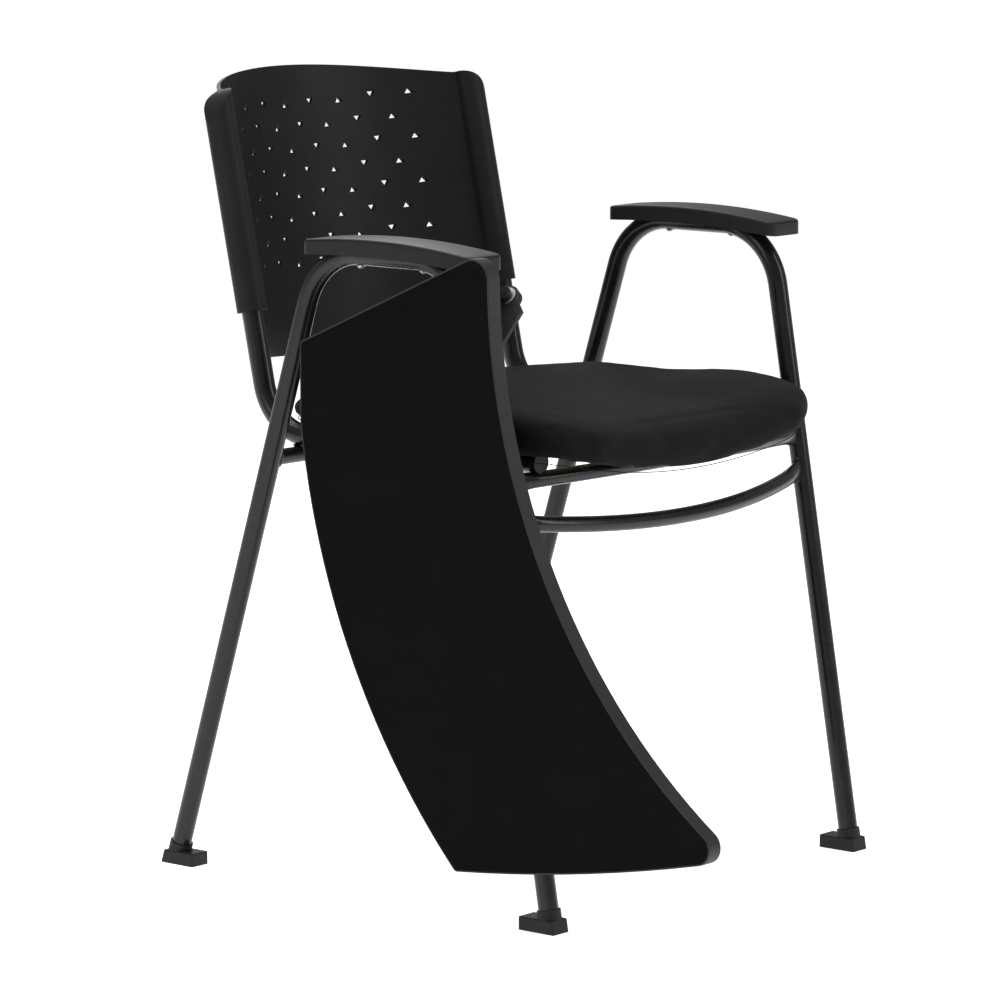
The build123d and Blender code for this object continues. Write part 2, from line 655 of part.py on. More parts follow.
# Pivot bolt, washers and nut.
head_base = strap_high + WASHER_THICKNESS + 2 * WASHER_GAP
nut_top = -HINGE_PLATE - WASHER_THICKNESS - WASHER_GAP
bolt = pivot_disc(nut_top - NUT_HEIGHT, head_base, PIVOT_RADIUS)
bolt += pivot_disc(head_base, head_base + PIVOT_HEAD, PIVOT_HEAD_RADIUS)
nut_face = RegularPolygon(NUT_WIDTH / 2, 6, major_radius=False) - Circle(PIVOT_RADIUS)
nut = extrude(Pos(0, 0, nut_top - NUT_HEIGHT) * nut_face, NUT_HEIGHT)
washer_lows = (
    WASHER_GAP,
    strap_high + WASHER_GAP,
    -HINGE_PLATE - WASHER_THICKNESS,
)
parts["pivot_bolt"] = pivot_plane * bolt
parts["pivot_nut"] = pivot_plane * nut
parts["pivot_washers"] = pivot_plane * Compound([washer(low, WASHER_RADIUS) for low in washer_lows])

# ---- Origin: on the floor, under the middle of the whole chair's box
whole = Compound([solid for part in parts.values() for solid in part.solids()]).bounding_box()
middle = (whole.min + whole.max) / 2
to_origin = Pos(-middle.X, -middle.Y, -whole.min.Z)
print("shift", to_origin.position, "size", whole.size)
print("pivot", to_origin.position + pivot_origin)
for name, part in parts.items():
    export_step(to_origin * Compound(part.solids()), f"parts/{name}.step")
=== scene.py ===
import json
import math
import bmesh
import bpy
from mathutils import Matrix, Vector


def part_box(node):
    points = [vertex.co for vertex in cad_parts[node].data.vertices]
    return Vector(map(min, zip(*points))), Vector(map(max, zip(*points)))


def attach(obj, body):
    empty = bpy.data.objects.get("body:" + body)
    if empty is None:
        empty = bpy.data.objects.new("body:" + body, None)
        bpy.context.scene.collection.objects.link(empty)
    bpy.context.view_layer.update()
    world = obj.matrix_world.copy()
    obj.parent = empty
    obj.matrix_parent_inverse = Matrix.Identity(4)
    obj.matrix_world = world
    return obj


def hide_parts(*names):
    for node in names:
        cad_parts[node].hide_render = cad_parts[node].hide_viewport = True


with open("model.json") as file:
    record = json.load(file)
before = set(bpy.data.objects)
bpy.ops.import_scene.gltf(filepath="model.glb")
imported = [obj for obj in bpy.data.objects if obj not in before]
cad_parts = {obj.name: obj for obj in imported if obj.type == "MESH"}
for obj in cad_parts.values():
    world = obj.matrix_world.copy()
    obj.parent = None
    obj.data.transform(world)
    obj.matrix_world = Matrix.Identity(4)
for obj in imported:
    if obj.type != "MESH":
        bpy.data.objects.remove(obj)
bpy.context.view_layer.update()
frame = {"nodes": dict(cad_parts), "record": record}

bl_info = {
    "name": "Student Desk Chair",
    "version": (1, 0, 0),
    "blender": (4, 5, 0),
    "location": "3D View > Sidebar > Desk Chair",
    "description": "Builds the finish of a student desk chair around its fixed frame",
    "category": "Object",
}

MM = 0.001
SIDES = {"right": -1, "left": 1}
FEET = ("foot_front_right", "foot_front_left", "foot_rear_right", "foot_rear_left")


# ---------------------------------------------------------------- places on the frame
def box_middle(node):
    low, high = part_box(node)
    return (Vector(low) + Vector(high)) / 2


def feet_middle():
    """The floor point midway between the four shoes."""
    total = sum((box_middle(foot) for foot in FEET), Vector())
    middle = total / len(FEET)
    return Vector((middle.x, middle.y, 0))


ORIGIN = feet_middle()


def at(x, y, z):
    """A point given in millimetres from the floor point between the shoes."""
    return ORIGIN + Vector((x, y, z)) * MM


# ---------------------------------------------------------------- settings
class ChairSizes(bpy.types.PropertyGroup):
    leg_radius: bpy.props.FloatProperty(
        name="Leg tube radius",
        description="Outer radius of the side frames",
        default=0.010,
        unit="LENGTH",
    )
    leg_bend: bpy.props.FloatProperty(
        name="Leg bend",
        description="Axis radius of the side frames' bends",
        default=0.072,
        unit="LENGTH",
    )
    seat_tube_radius: bpy.props.FloatProperty(
        name="Seat tube radius",
        description="Outer radius of the seat and back tubes",
        default=0.011,
        unit="LENGTH",
    )
    seat_bend: bpy.props.FloatProperty(
        name="Seat bend",
        description="Axis radius of the bend behind the seat",
        default=0.060,
        unit="LENGTH",
    )
    seat_puff: bpy.props.FloatProperty(
        name="Seat pressure",
        description="Pressure that swells the seat's cover",
        default=4.0,
    )
    seat_puff_limit: bpy.props.FloatProperty(
        name="Puff limit",
        description="Furthest a point of the cover may move",
        default=0.004,
        unit="LENGTH",
    )
    weld_size: bpy.props.FloatProperty(
        name="Weld bead",
        description="Radius of one ripple of a weld bead",
        default=0.0017,
        unit="LENGTH",
    )
    stitch_pitch: bpy.props.FloatProperty(
        name="Stitch pitch",
        description="Distance between stitches of the seat's seam",
        default=0.0045,
        unit="LENGTH",
    )
    camera_lens: bpy.props.FloatProperty(
        name="Lens",
        description="Focal length of the camera",
        default=184.92,
        unit="CAMERA",
    )


class ChairColours(bpy.types.PropertyGroup):
    paint: bpy.props.FloatVectorProperty(
        name="Tube paint",
        description="Powder coat of the tubes",
        default=(0.006, 0.006, 0.0065),
        subtype="COLOR",
    )
    shell: bpy.props.FloatVectorProperty(
        name="Shell",
        description="Moulded back shell",
        default=(0.009, 0.009, 0.0095),
        subtype="COLOR",
    )
    pad: bpy.props.FloatVectorProperty(
        name="Arm pads",
        description="Moulded arm pads",
        default=(0.008, 0.008, 0.0085),
        subtype="COLOR",
    )
    fabric: bpy.props.FloatVectorProperty(
        name="Seat fabric",
        description="Woven seat cover",
        default=(0.007, 0.007, 0.0075),
        subtype="COLOR",
    )
    laminate: bpy.props.FloatVectorProperty(
        name="Tablet",
        description="Laminate of the writing tablet",
        default=(0.0022, 0.0022, 0.0024),
        subtype="COLOR",
    )
    band: bpy.props.FloatVectorProperty(
        name="Edge band",
        description="Band round the writing tablet",
        default=(0.016, 0.016, 0.017),
        subtype="COLOR",
    )
    steel: bpy.props.FloatVectorProperty(
        name="Screws",
        description="Plated screws",
        default=(0.45, 0.45, 0.47),
        subtype="COLOR",
    )
    plywood: bpy.props.FloatVectorProperty(
        name="Plywood",
        description="Seat pan",
        default=(0.34, 0.23, 0.13),
        subtype="COLOR",
    )
    floor: bpy.props.FloatVectorProperty(
        name="Floor",
        description="Plain pale floor",
        default=(0.93, 0.93, 0.93),
        subtype="COLOR",
    )


# ---------------------------------------------------------------- node building
class Wire:
    """One output of a node tree, on which Python arithmetic adds Math nodes."""

    def __init__(self, tree, socket):
        self.tree = tree
        self.socket = socket

    def _math(self, operation, first, second):
        return self.tree.node(self.tree.math_kind, {"operation": operation}, {0: first, 1: second})

    def __add__(self, other):
        return self._math("ADD", self, other)

    __radd__ = __add__

    def __sub__(self, other):
        return self._math("SUBTRACT", self, other)

    def __rsub__(self, other):
        return self._math("SUBTRACT", other, self)

    def __mul__(self, other):
        return self._math("MULTIPLY", self, other)

    __rmul__ = __mul__


class Tree:
    """A node tree with one method that adds any node."""

    math_kind = "ShaderNodeMath"

    def __init__(self, tree):
        self.tree = tree

    def node(self, kind, settings=None, inputs=None, output=0):
        made = self.tree.nodes.new(kind)
        for name, value in (settings or {}).items():
            if name == "stops":
                ramp = made.color_ramp
                for element, (place, shade) in zip(ramp.elements, value):
                    element.position = place
                    element.color = (shade, shade, shade, 1)
            else:
                setattr(made, name, value)
        for key, value in (inputs or {}).items():
            if isinstance(value, Wire):
                self.tree.links.new(value.socket, made.inputs[key])
            else:
                made.inputs[key].default_value = value
        return Wire(self, made.outputs[output]) if made.outputs else None


def new_material(name):
    material = bpy.data.materials.new(name)
    material.use_nodes = True
    material.node_tree.nodes.clear()
    return material, Tree(material.node_tree)


def principled(tree, inputs):
    """The surface shader with these inputs, joined to the material's output."""
    shader = tree.node("ShaderNodeBsdfPrincipled", inputs=inputs)
    tree.node("ShaderNodeOutputMaterial", inputs={"Surface": shader})


def object_place(tree, scale=(1, 1, 1)):
    place = tree.node("ShaderNodeTexCoord", output="Object")
    return tree.node("ShaderNodeMapping", inputs={"Vector": place, "Scale": scale})


def noise(tree, place, scale, detail=3.0, roughness=0.5):
    return tree.node(
        "ShaderNodeTexNoise",
        inputs={"Vector": place, "Scale": scale, "Detail": detail, "Roughness": roughness},
    )


def bands(tree, direction, inputs):
    settings = {"wave_type": "BANDS", "bands_direction": direction}
    return tree.node("ShaderNodeTexWave", settings, inputs, output=1)


def tinted(tree, colour, factor, lighter):
    """The colour, drifting towards a lighter shade of itself as the factor rises."""
    dark = (*colour, 1)
    pale = (*[channel * lighter for channel in colour], 1)
    return tree.node(
        "ShaderNodeMix", {"data_type": "RGBA"}, {"Factor": factor, 6: dark, 7: pale}, output=2
    )


def bumped(tree, height, strength, distance):
    return tree.node(
        "ShaderNodeBump", inputs={"Height": height, "Strength": strength, "Distance": distance}
    )


# ---------------------------------------------------------------- materials
def powder_coat(name, colour, roughness, specular):
    """Semi-gloss black powder coat: fine orange peel, faint dust and handling marks."""
    material, tree = new_material(name)
    place = object_place(tree)
    peel = noise(tree, place, 900.0, 2.0)
    dust = noise(tree, place, 35.0, 5.0, 0.65)
    marks = noise(tree, object_place(tree, (1, 1, 0.15)), 240.0, 4.0)
    worn = tree.node("ShaderNodeValToRGB", {"stops": ((0.48, 0.0), (0.75, 1.0))}, {0: dust})
    principled(
        tree,
        {
            "Base Color": tinted(tree, colour, worn, 1.9),
            "Roughness": roughness + 0.16 * dust + 0.06 * marks,
            "Specular IOR Level": specular,
            "Coat Weight": 0.12,
            "Coat Roughness": 0.12,
            "Normal": bumped(tree, peel, 0.22, 0.0002),
        },
    )
    return material


def moulded_plastic(name, colour, roughness, specular, grain):
    """Satin moulded plastic: a fine pebbled grain with faint rubbed patches."""
    material, tree = new_material(name)
    place = object_place(tree)
    pebble = tree.node(
        "ShaderNodeTexVoronoi",
        {"feature": "SMOOTH_F1"},
        {"Vector": place, "Scale": grain, "Smoothness": 0.6},
    )
    fine = noise(tree, place, grain * 1.7, 2.0)
    rubbed = noise(tree, place, 14.0, 5.0, 0.6)
    patches = tree.node("ShaderNodeValToRGB", {"stops": ((0.42, 0.0), (0.72, 1.0))}, {0: rubbed})
    principled(
        tree,
        {
            "Base Color": tinted(tree, colour, patches, 1.35),
            "Roughness": roughness + 0.10 * rubbed - 0.05 * patches,
            "Specular IOR Level": specular,
            "Normal": bumped(tree, 0.7 * pebble + 0.3 * fine, 0.35, 0.00015),
        },
    )
    return material


def woven_fabric(name, colour):
    """Tight black plain weave: crossed threads, slubs and soft fuzz."""
    material, tree = new_material(name)
    place = object_place(tree)
    wander = noise(tree, place, 60.0, 2.0)
    weave = {"Vector": place, "Scale": 260.0, "Distortion": 1.2, "Detail": 1.0}
    across, along, upright = (bands(tree, direction, weave) for direction in "XYZ")
    threads = 0.4 * across + 0.4 * along + 0.3 * upright
    slubs = noise(tree, object_place(tree, (1, 6, 1)), 180.0, 3.0)
    fuzz = noise(tree, place, 1500.0, 2.0)
    mottled = tree.node("ShaderNodeValToRGB", {"stops": ((0.35, 0.0), (0.7, 1.0))}, {0: wander})
    principled(
        tree,
        {
            "Base Color": tinted(tree, colour, 0.45 * mottled + 0.4 * threads + 0.2 * slubs, 1.7),
            "Roughness": 0.86 + 0.1 * fuzz,
            "Specular IOR Level": 0.06,
            "Sheen Weight": 0.04,
            "Sheen Roughness": 0.45,
            "Normal": bumped(tree, threads + 0.5 * slubs + 0.4 * fuzz, 0.45, 0.0003),
        },
    )
    return material


def matte_laminate(name, colour):
    """Matte black laminate: pin-fine texture, faint wiped smudges and hairlines."""
    material, tree = new_material(name)
    place = object_place(tree)
    pores = noise(tree, place, 1400.0, 2.0)
    smudge = noise(tree, place, 9.0, 4.0, 0.7)
    wiped = noise(tree, object_place(tree, (1, 0.25, 2.2)), 22.0, 5.0, 0.6)
    cloud = tree.node("ShaderNodeValToRGB", {"stops": ((0.45, 0.0), (0.8, 1.0))}, {0: smudge})
    hair = noise(tree, object_place(tree, (1, 40, 2)), 60.0, 3.0)
    lines = tree.node("ShaderNodeValToRGB", {"stops": ((0.66, 0.0), (0.72, 1.0))}, {0: hair})
    principled(
        tree,
        {
            "Base Color": tinted(tree, colour, 0.7 * cloud + 0.3 * wiped, 1.5),
            "Roughness": 0.50 + 0.16 * wiped - 0.06 * cloud - 0.05 * lines,
            "Specular IOR Level": 0.04,
            "Normal": bumped(tree, 0.8 * pores - 0.3 * lines, 0.16, 0.0001),
        },
    )
    return material


def plated_steel(name, colour):
    material, tree = new_material(name)
    place = object_place(tree)
    brushed = noise(tree, place, 700.0, 3.0)
    stain = noise(tree, place, 90.0, 4.0)
    principled(
        tree,
        {
            "Base Color": tinted(tree, colour, stain, 1.5),
            "Metallic": 1.0,
            "Roughness": 0.22 + 0.2 * stain,
            "Normal": bumped(tree, brushed, 0.15, 0.0001),
        },
    )
    return material


def layered_plywood(name, colour):
    """Plywood: long grain on the faces and fine veneer lines on the edge."""
    material, tree = new_material(name)
    place = object_place(tree, (7.0, 0.8, 1.0))
    grain = noise(tree, place, 60.0, 6.0, 0.6)
    swirl = {"Vector": place, "Scale": 6.0, "Distortion": 6.0, "Detail": 3.0}
    figure = bands(tree, "X", swirl)
    layers = {"Vector": object_place(tree), "Scale": 110.0, "Distortion": 0.3}
    veneers = bands(tree, "Z", layers)
    dark = [channel * 0.6 for channel in colour]
    principled(
        tree,
        {
            "Base Color": tinted(tree, dark, 0.4 * figure + 0.4 * grain + 0.3 * veneers, 1.9),
            "Roughness": 0.55 + 0.25 * grain,
            "Normal": bumped(tree, grain + veneers, 0.25, 0.0003),
        },
    )
    return material


def floor_white(name, colour):
    material, tree = new_material(name)
    patchy = noise(tree, object_place(tree), 0.8, 2.0)
    principled(
        tree,
        {
            "Base Color": tinted(tree, colour, patchy, 1.02),
            "Roughness": 0.9,
            "Specular IOR Level": 0.0,
            "Emission Color": (1, 1, 1, 1),
            "Emission Strength": 0.72,
        },
    )
    return material


BRASS = (0.55, 0.40, 0.16)
MATERIALS = {}


def material(name):
    """Each finish, made the first time it is asked for."""
    colours = bpy.context.scene.chair_colours
    recipes = {
        "tube_paint": (powder_coat, colours.paint, 0.16, 0.30),
        "hinge_paint": (powder_coat, colours.paint, 0.38, 0.35),
        "weld_paint": (powder_coat, colours.paint, 0.34, 0.5),
        "shell_plastic": (moulded_plastic, colours.shell, 0.46, 0.18, 1100.0),
        "pad_plastic": (moulded_plastic, colours.pad, 0.40, 0.28, 900.0),
        "shoe_plastic": (moulded_plastic, colours.shell, 0.52, 0.30, 700.0),
        "tablet_band": (moulded_plastic, colours.band, 0.48, 0.32, 1500.0),
        "seat_fabric": (woven_fabric, colours.fabric),
        "tablet_laminate": (matte_laminate, colours.laminate),
        "screw_steel": (plated_steel, colours.steel),
        "brass_insert": (plated_steel, BRASS),
        "seat_plywood": (layered_plywood, colours.plywood),
        "floor_white": (floor_white, colours.floor),
    }
    if name not in MATERIALS:
        maker, *values = recipes[name]
        MATERIALS[name] = maker(name, *values)
    return MATERIALS[name]


# ---------------------------------------------------------------- mesh helpers
SHARP_ANGLE = 38.0
BEVEL_ANGLE = 32.0
FLAT_ANGLE = 0.4
DOUBLES = 2e-6


def link(name, mesh):
    piece = bpy.data.objects.new(name, mesh)
    bpy.context.scene.collection.objects.link(piece)
    return piece


def shade(mesh):
    mesh.shade_smooth()
    mesh.set_sharp_from_angle(angle=math.radians(SHARP_ANGLE))


def evaluated(piece):
    """The piece's mesh with its modifiers applied."""
    depsgraph = bpy.context.evaluated_depsgraph_get()
    return bpy.data.meshes.new_from_object(piece.evaluated_get(depsgraph))


def from_bmesh(name, work, smooth=True):
    mesh = bpy.data.meshes.new(name)
    work.to_mesh(mesh)
    work.free()
    piece = link(name, mesh)
    if smooth:
        shade(mesh)
    return piece


def paint(piece, name):
    piece.data.materials.clear()
    piece.data.materials.append(material(name))


def settle(piece, body, nodes=()):
    """Names the body the piece rides on and the CAD nodes that it stands for."""
    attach(piece, body)
    if nodes:
        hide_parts(*nodes)


def body_of(node):
    for body, members in frame["record"]["behaviour"]["bodies"].items():
        if node in members:
            return body
    raise ValueError(f"no body holds {node}")


def slot_of(node):
    for entry in frame["record"]["subparts"]:
        if entry["node"] == node:
            return entry["material_slot"]
    raise ValueError(f"no slot for {node}")


def softened(node, edge, segments=2):
    """A copy of a CAD node with its doubles merged and its arrises rounded."""
    source = frame["nodes"][node].data
    work = bmesh.new()
    work.from_mesh(source)
    bmesh.ops.remove_doubles(work, verts=work.verts, dist=DOUBLES)
    flat = math.radians(FLAT_ANGLE)
    bmesh.ops.dissolve_limit(work, angle_limit=flat, verts=work.verts, edges=work.edges)
    piece = from_bmesh(node + "_finish", work)
    if edge > 0:
        bevel = piece.modifiers.new("rounded arrises", "BEVEL")
        bevel.width = edge
        bevel.segments = segments
        bevel.limit_method = "ANGLE"
        bevel.angle_limit = math.radians(BEVEL_ANGLE)
        bevel.harden_normals = True
    paint(piece, slot_of(node))
    settle(piece, body_of(node), [node])


def polyline_mesh(name, loops, closed=False):
    """Edges through each list of points, as the input of a Geometry Nodes tree."""
    points, edges = [], []
    for loop in loops:
        first = len(points)
        points += [tuple(point) for point in loop]
        edges += [(first + i, first + i + 1) for i in range(len(loop) - 1)]
        if closed:
            edges.append((len(points) - 1, first))
    mesh = bpy.data.meshes.new(name)
    mesh.from_pydata(points, edges, [])
    return link(name, mesh)


# ---------------------------------------------------------------- Geometry Nodes
def new_node_group(name, inputs):
    group = bpy.data.node_groups.new(name, "GeometryNodeTree")
    group.interface.new_socket("Geometry", in_out="INPUT", socket_type="NodeSocketGeometry")
    for title, kind in inputs:
        group.interface.new_socket(title, in_out="INPUT", socket_type=kind)
    group.interface.new_socket("Geometry", in_out="OUTPUT", socket_type="NodeSocketGeometry")
    tree = Tree(group)
    source = group.nodes.new("NodeGroupInput")
    wires = {socket.name: Wire(tree, socket) for socket in source.outputs if socket.name}
    return group, tree, wires


def end_group(tree, geometry, finish):
    whole = tree.node("GeometryNodeRealizeInstances", inputs={"Geometry": geometry})
    painted = tree.node("GeometryNodeSetMaterial", inputs={"Geometry": whole, "Material": finish})
    tree.node("NodeGroupOutput", inputs={"Geometry": painted})


def bent_tube_group():
    """Round tube along straight runs joined by bends of one radius."""
    group, tree, wires = new_node_group(
        "bent tube",
        [("Radius", "NodeSocketFloat"), ("Bend", "NodeSocketFloat"), ("Finish", "NodeSocketMaterial")],
    )
    line = tree.node("GeometryNodeMeshToCurve", inputs={"Mesh": wires["Geometry"]})
    bend = tree.node(
        "GeometryNodeFilletCurve",
        {"mode": "POLY"},
        {"Curve": line, "Count": 28, "Radius": wires["Bend"]},
    )
    ring = tree.node(
        "GeometryNodeCurvePrimitiveCircle", inputs={"Resolution": 40, "Radius": wires["Radius"]}
    )
    tube = tree.node(
        "GeometryNodeCurveToMesh", inputs={"Curve": bend, "Profile Curve": ring, "Fill Caps": True}
    )
    end_group(tree, tube, wires["Finish"])
    return group


def weld_group():
    """A bead of overlapping ripples along closed loops."""
    group, tree, wires = new_node_group(
        "weld bead", [("Ripple", "NodeSocketFloat"), ("Finish", "NodeSocketMaterial")]
    )
    line = tree.node("GeometryNodeMeshToCurve", inputs={"Mesh": wires["Geometry"]})
    spaced = tree.node(
        "GeometryNodeResampleCurve",
        {"mode": "LENGTH"},
        {"Curve": line, "Length": wires["Ripple"] * 0.75},
    )
    drop = tree.node(
        "GeometryNodeMeshIcoSphere", inputs={"Radius": wires["Ripple"], "Subdivisions": 2}
    )
    size = tree.node(
        "FunctionNodeRandomValue",
        {"data_type": "FLOAT_VECTOR"},
        {0: (0.8, 0.8, 0.8), 1: (1.25, 1.25, 1.25), "Seed": 7},
    )
    beads = tree.node(
        "GeometryNodeInstanceOnPoints", inputs={"Points": spaced, "Instance": drop, "Scale": size}
    )
    end_group(tree, beads, wires["Finish"])
    return group


def screw_group():
    """One head on each point, aimed along the point's own direction."""
    group, tree, wires = new_node_group(
        "screw set",
        [("Head", "NodeSocketObject"), ("Size", "NodeSocketFloat"), ("Finish", "NodeSocketMaterial")],
    )
    head = tree.node("GeometryNodeObjectInfo", inputs={"Object": wires["Head"]}, output="Geometry")
    aim = tree.node(
        "GeometryNodeInputNamedAttribute", {"data_type": "FLOAT_VECTOR"}, {"Name": "aim"}
    )
    turn = tree.node("FunctionNodeAlignRotationToVector", {"axis": "Z"}, {"Vector": aim})
    roll = tree.node(
        "FunctionNodeRandomValue", {"data_type": "FLOAT"}, {2: 0.0, 3: 1.4, "Seed": 3}, output=1
    )
    spin = tree.node("FunctionNodeAxisAngleToRotation", inputs={"Axis": (0, 0, 1), "Angle": roll})
    facing = tree.node(
        "FunctionNodeRotateRotation", {"rotation_space": "LOCAL"}, {"Rotation": turn, "Rotate By": spin}
    )
    placed = tree.node(
        "GeometryNodeInstanceOnPoints",
        inputs={
            "Points": wires["Geometry"],
            "Instance": head,
            "Rotation": facing,
            "Scale": wires["Size"],
        },
    )
    end_group(tree, placed, wires["Finish"])
    return group


def stitch_group():
    """Short stitches laid end to end along a closed seam."""
    group, tree, wires = new_node_group(
        "seam stitches",
        [("Pitch", "NodeSocketFloat"), ("Thread", "NodeSocketFloat"), ("Finish", "NodeSocketMaterial")],
    )
    line = tree.node("GeometryNodeMeshToCurve", inputs={"Mesh": wires["Geometry"]})
    spaced = tree.node(
        "GeometryNodeResampleCurve", {"mode": "LENGTH"}, {"Curve": line, "Length": wires["Pitch"]}
    )
    tangent = tree.node("GeometryNodeInputTangent")
    turn = tree.node("FunctionNodeAlignRotationToVector", {"axis": "Z"}, {"Vector": tangent})
    thread = tree.node(
        "GeometryNodeMeshCylinder",
        inputs={"Vertices": 6, "Radius": wires["Thread"], "Depth": wires["Pitch"] * 0.72},
    )
    laid = tree.node(
        "GeometryNodeInstanceOnPoints", inputs={"Points": spaced, "Instance": thread, "Rotation": turn}
    )
    end_group(tree, laid, wires["Finish"])
    return group


GROUPS = {}


def grown(piece, maker, values):
    """Runs a Geometry Nodes tree on the piece and leaves its result as a plain mesh."""
    if maker.__name__ not in GROUPS:
        GROUPS[maker.__name__] = maker()
    group = GROUPS[maker.__name__]
    modifier = piece.modifiers.new(group.name, "NODES")
    modifier.node_group = group
    for item in group.interface.items_tree:
        if item.in_out == "INPUT" and item.name in values:
            modifier[item.identifier] = values[item.name]
    mesh = evaluated(piece)
    piece.modifiers.remove(modifier)
    piece.data = mesh
    shade(mesh)


# ---------------------------------------------------------------- frame tubes
LEG_SPREAD = 247.8
REAR_LEAN = 0.312
FRONT_LEAN = 0.172
ARM_LEVEL = 640.0
LEG_END = 8.0
SIDE_X = 245.0
SEAT_X = 196.0
SEAT_LEVEL = 447.0
SEAT_CORNER = 157.1
SEAT_FRONT_END = -192.0
BACK_LEAN = 0.215
BACK_LENGTH = 300.0
LEAN_SIZE = math.hypot(1, BACK_LEAN)
BEAD_STEPS = 40
BEAD_REACH = 0.98  # most of the leg's radius that a bead may lie off the leg's axis
PINCH_HALF = 12.5  # half the height of a pinched tube end
PINCH_BEAD = (12.6, 4.2)
RAIL_BEAD = (8.6, 8.6)
SADDLE_HALF = 8
SADDLE_DROP = 11.6
SADDLE_CURVE = 0.035
SADDLE_EDGE = 4.5


def leg_y(end, level):
    lean = REAR_LEAN if end > 0 else FRONT_LEAN
    return end * (LEG_SPREAD - lean * level)


def lean_point(x, depth, up):
    """A point in the leaning back's frame: across, rearward and up the back, in millimetres."""
    y = SEAT_CORNER + (depth + BACK_LEAN * up) / LEAN_SIZE
    z = SEAT_LEVEL + (up - BACK_LEAN * depth) / LEAN_SIZE
    return at(x, y, z)


def lean_direction(depth, up):
    return Vector((0, depth + BACK_LEAN * up, up - BACK_LEAN * depth)).normalized()


class CHAIR_OT_side_frames(bpy.types.Operator):
    """Bent tubes that make the legs and the arm runs"""

    bl_idname = "chair.side_frames"
    bl_label = "Side frames"

    def execute(self, context):
        sizes = context.scene.chair_sizes
        for name, side in SIDES.items():
            x = side * SIDE_X
            corners = [
                at(x, leg_y(1, LEG_END), LEG_END),
                at(x, leg_y(1, ARM_LEVEL), ARM_LEVEL),
                at(x, leg_y(-1, ARM_LEVEL), ARM_LEVEL),
                at(x, leg_y(-1, LEG_END), LEG_END),
            ]
            tube = polyline_mesh(f"side_tube_{name}", [corners])
            values = {
                "Radius": sizes.leg_radius,
                "Bend": sizes.leg_bend,
                "Finish": material("tube_paint"),
            }
            grown(tube, bent_tube_group, values)
            settle(tube, "chair", [f"side_frame_{name}"])
        return {"FINISHED"}


class CHAIR_OT_back_tubes(bpy.types.Operator):
    """Tubes that run under the seat and rise into the back"""

    bl_idname = "chair.back_tubes"
    bl_label = "Seat and back tubes"

    def execute(self, context):
        sizes = context.scene.chair_sizes
        for name, side in SIDES.items():
            x = side * SEAT_X
            corners = [
                at(x, SEAT_FRONT_END, SEAT_LEVEL),
                at(x, SEAT_CORNER, SEAT_LEVEL),
                lean_point(x, 0, BACK_LENGTH),
            ]
            tube = polyline_mesh(f"seat_tube_{name}", [corners])
            values = {
                "Radius": sizes.seat_tube_radius,
                "Bend": sizes.seat_bend,
                "Finish": material("tube_paint"),
            }
            grown(tube, bent_tube_group, values)
            settle(tube, "chair", [f"back_tube_{name}"])
            softened(f"seat_tube_plug_{name}", 0.0006)
        return {"FINISHED"}


def joint_loop(side, y, z, end, half_height, half_depth):
    """A loop round a cross tube's end, lying on the leg tube's skin."""
    lean = REAR_LEAN if end > 0 else FRONT_LEAN
    along = Vector((-end * lean, 1)).normalized()
    radius = bpy.context.scene.chair_sizes.leg_radius / MM
    loop = []
    for step in range(BEAD_STEPS):
        angle = math.tau * step / BEAD_STEPS
        dy = half_depth * math.cos(angle)
        dz = half_height * math.sin(angle)
        off_axis = min(abs(dy * along.y - dz * along.x), radius * BEAD_REACH)
        x = side * (SIDE_X - math.sqrt(radius**2 - off_axis**2))
        loop.append(at(x, y + dy, z + dz))
    return loop


class CHAIR_OT_cross_tubes(bpy.types.Operator):
    """Cross tubes between the side frames, with their weld beads"""

    bl_idname = "chair.cross_tubes"
    bl_label = "Cross tubes and welds"

    def execute(self, context):
        for node in ("front_stretcher", "seat_front_rail", "seat_rear_rail"):
            softened(node, 0.0)
        loops = []
        for side in SIDES.values():
            for node in ("front_stretcher", "seat_front_rail"):
                low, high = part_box(node)
                level = (high[2] if node == "front_stretcher" else low[2]) / MM
                middle = level - PINCH_HALF if node == "front_stretcher" else level + PINCH_HALF
                loops.append(joint_loop(side, leg_y(-1, middle), middle, -1, *PINCH_BEAD))
            rail = box_middle("seat_rear_rail").z / MM
            loops.append(joint_loop(side, leg_y(1, rail), rail, 1, *RAIL_BEAD))
            for edge in (-1, 1):
                y = leg_y(1, rail) + edge * SADDLE_EDGE
                across = [
                    at(side * SEAT_X + dx, y, SEAT_LEVEL - SADDLE_DROP + SADDLE_CURVE * dx**2)
                    for dx in range(-SADDLE_HALF, SADDLE_HALF + 1)
                ]
                back = [point + Vector((0, edge * MM, 0)) for point in reversed(across)]
                loops.append(across + back)
        beads = polyline_mesh("weld_beads", loops, closed=True)
        values = {"Ripple": context.scene.chair_sizes.weld_size, "Finish": material("weld_paint")}
        grown(beads, weld_group, values)
        settle(beads, "chair")
        return {"FINISHED"}


# ---------------------------------------------------------------- plastic pieces
class CHAIR_OT_back_shell(bpy.types.Operator):
    """Moulded back shell with its vents"""

    bl_idname = "chair.back_shell"
    bl_label = "Back shell"

    def execute(self, context):
        softened("back_shell", 0.0011, 3)
        return {"FINISHED"}


class CHAIR_OT_plastic_trim(bpy.types.Operator):
    """Arm pads and shoes"""

    bl_idname = "chair.plastic_trim"
    bl_label = "Arm pads and shoes"

    def execute(self, context):
        for name in SIDES:
            softened(f"arm_pad_{name}", 0.0008, 3)
        for foot in FEET:
            softened(foot, 0.0005)
        return {"FINISHED"}


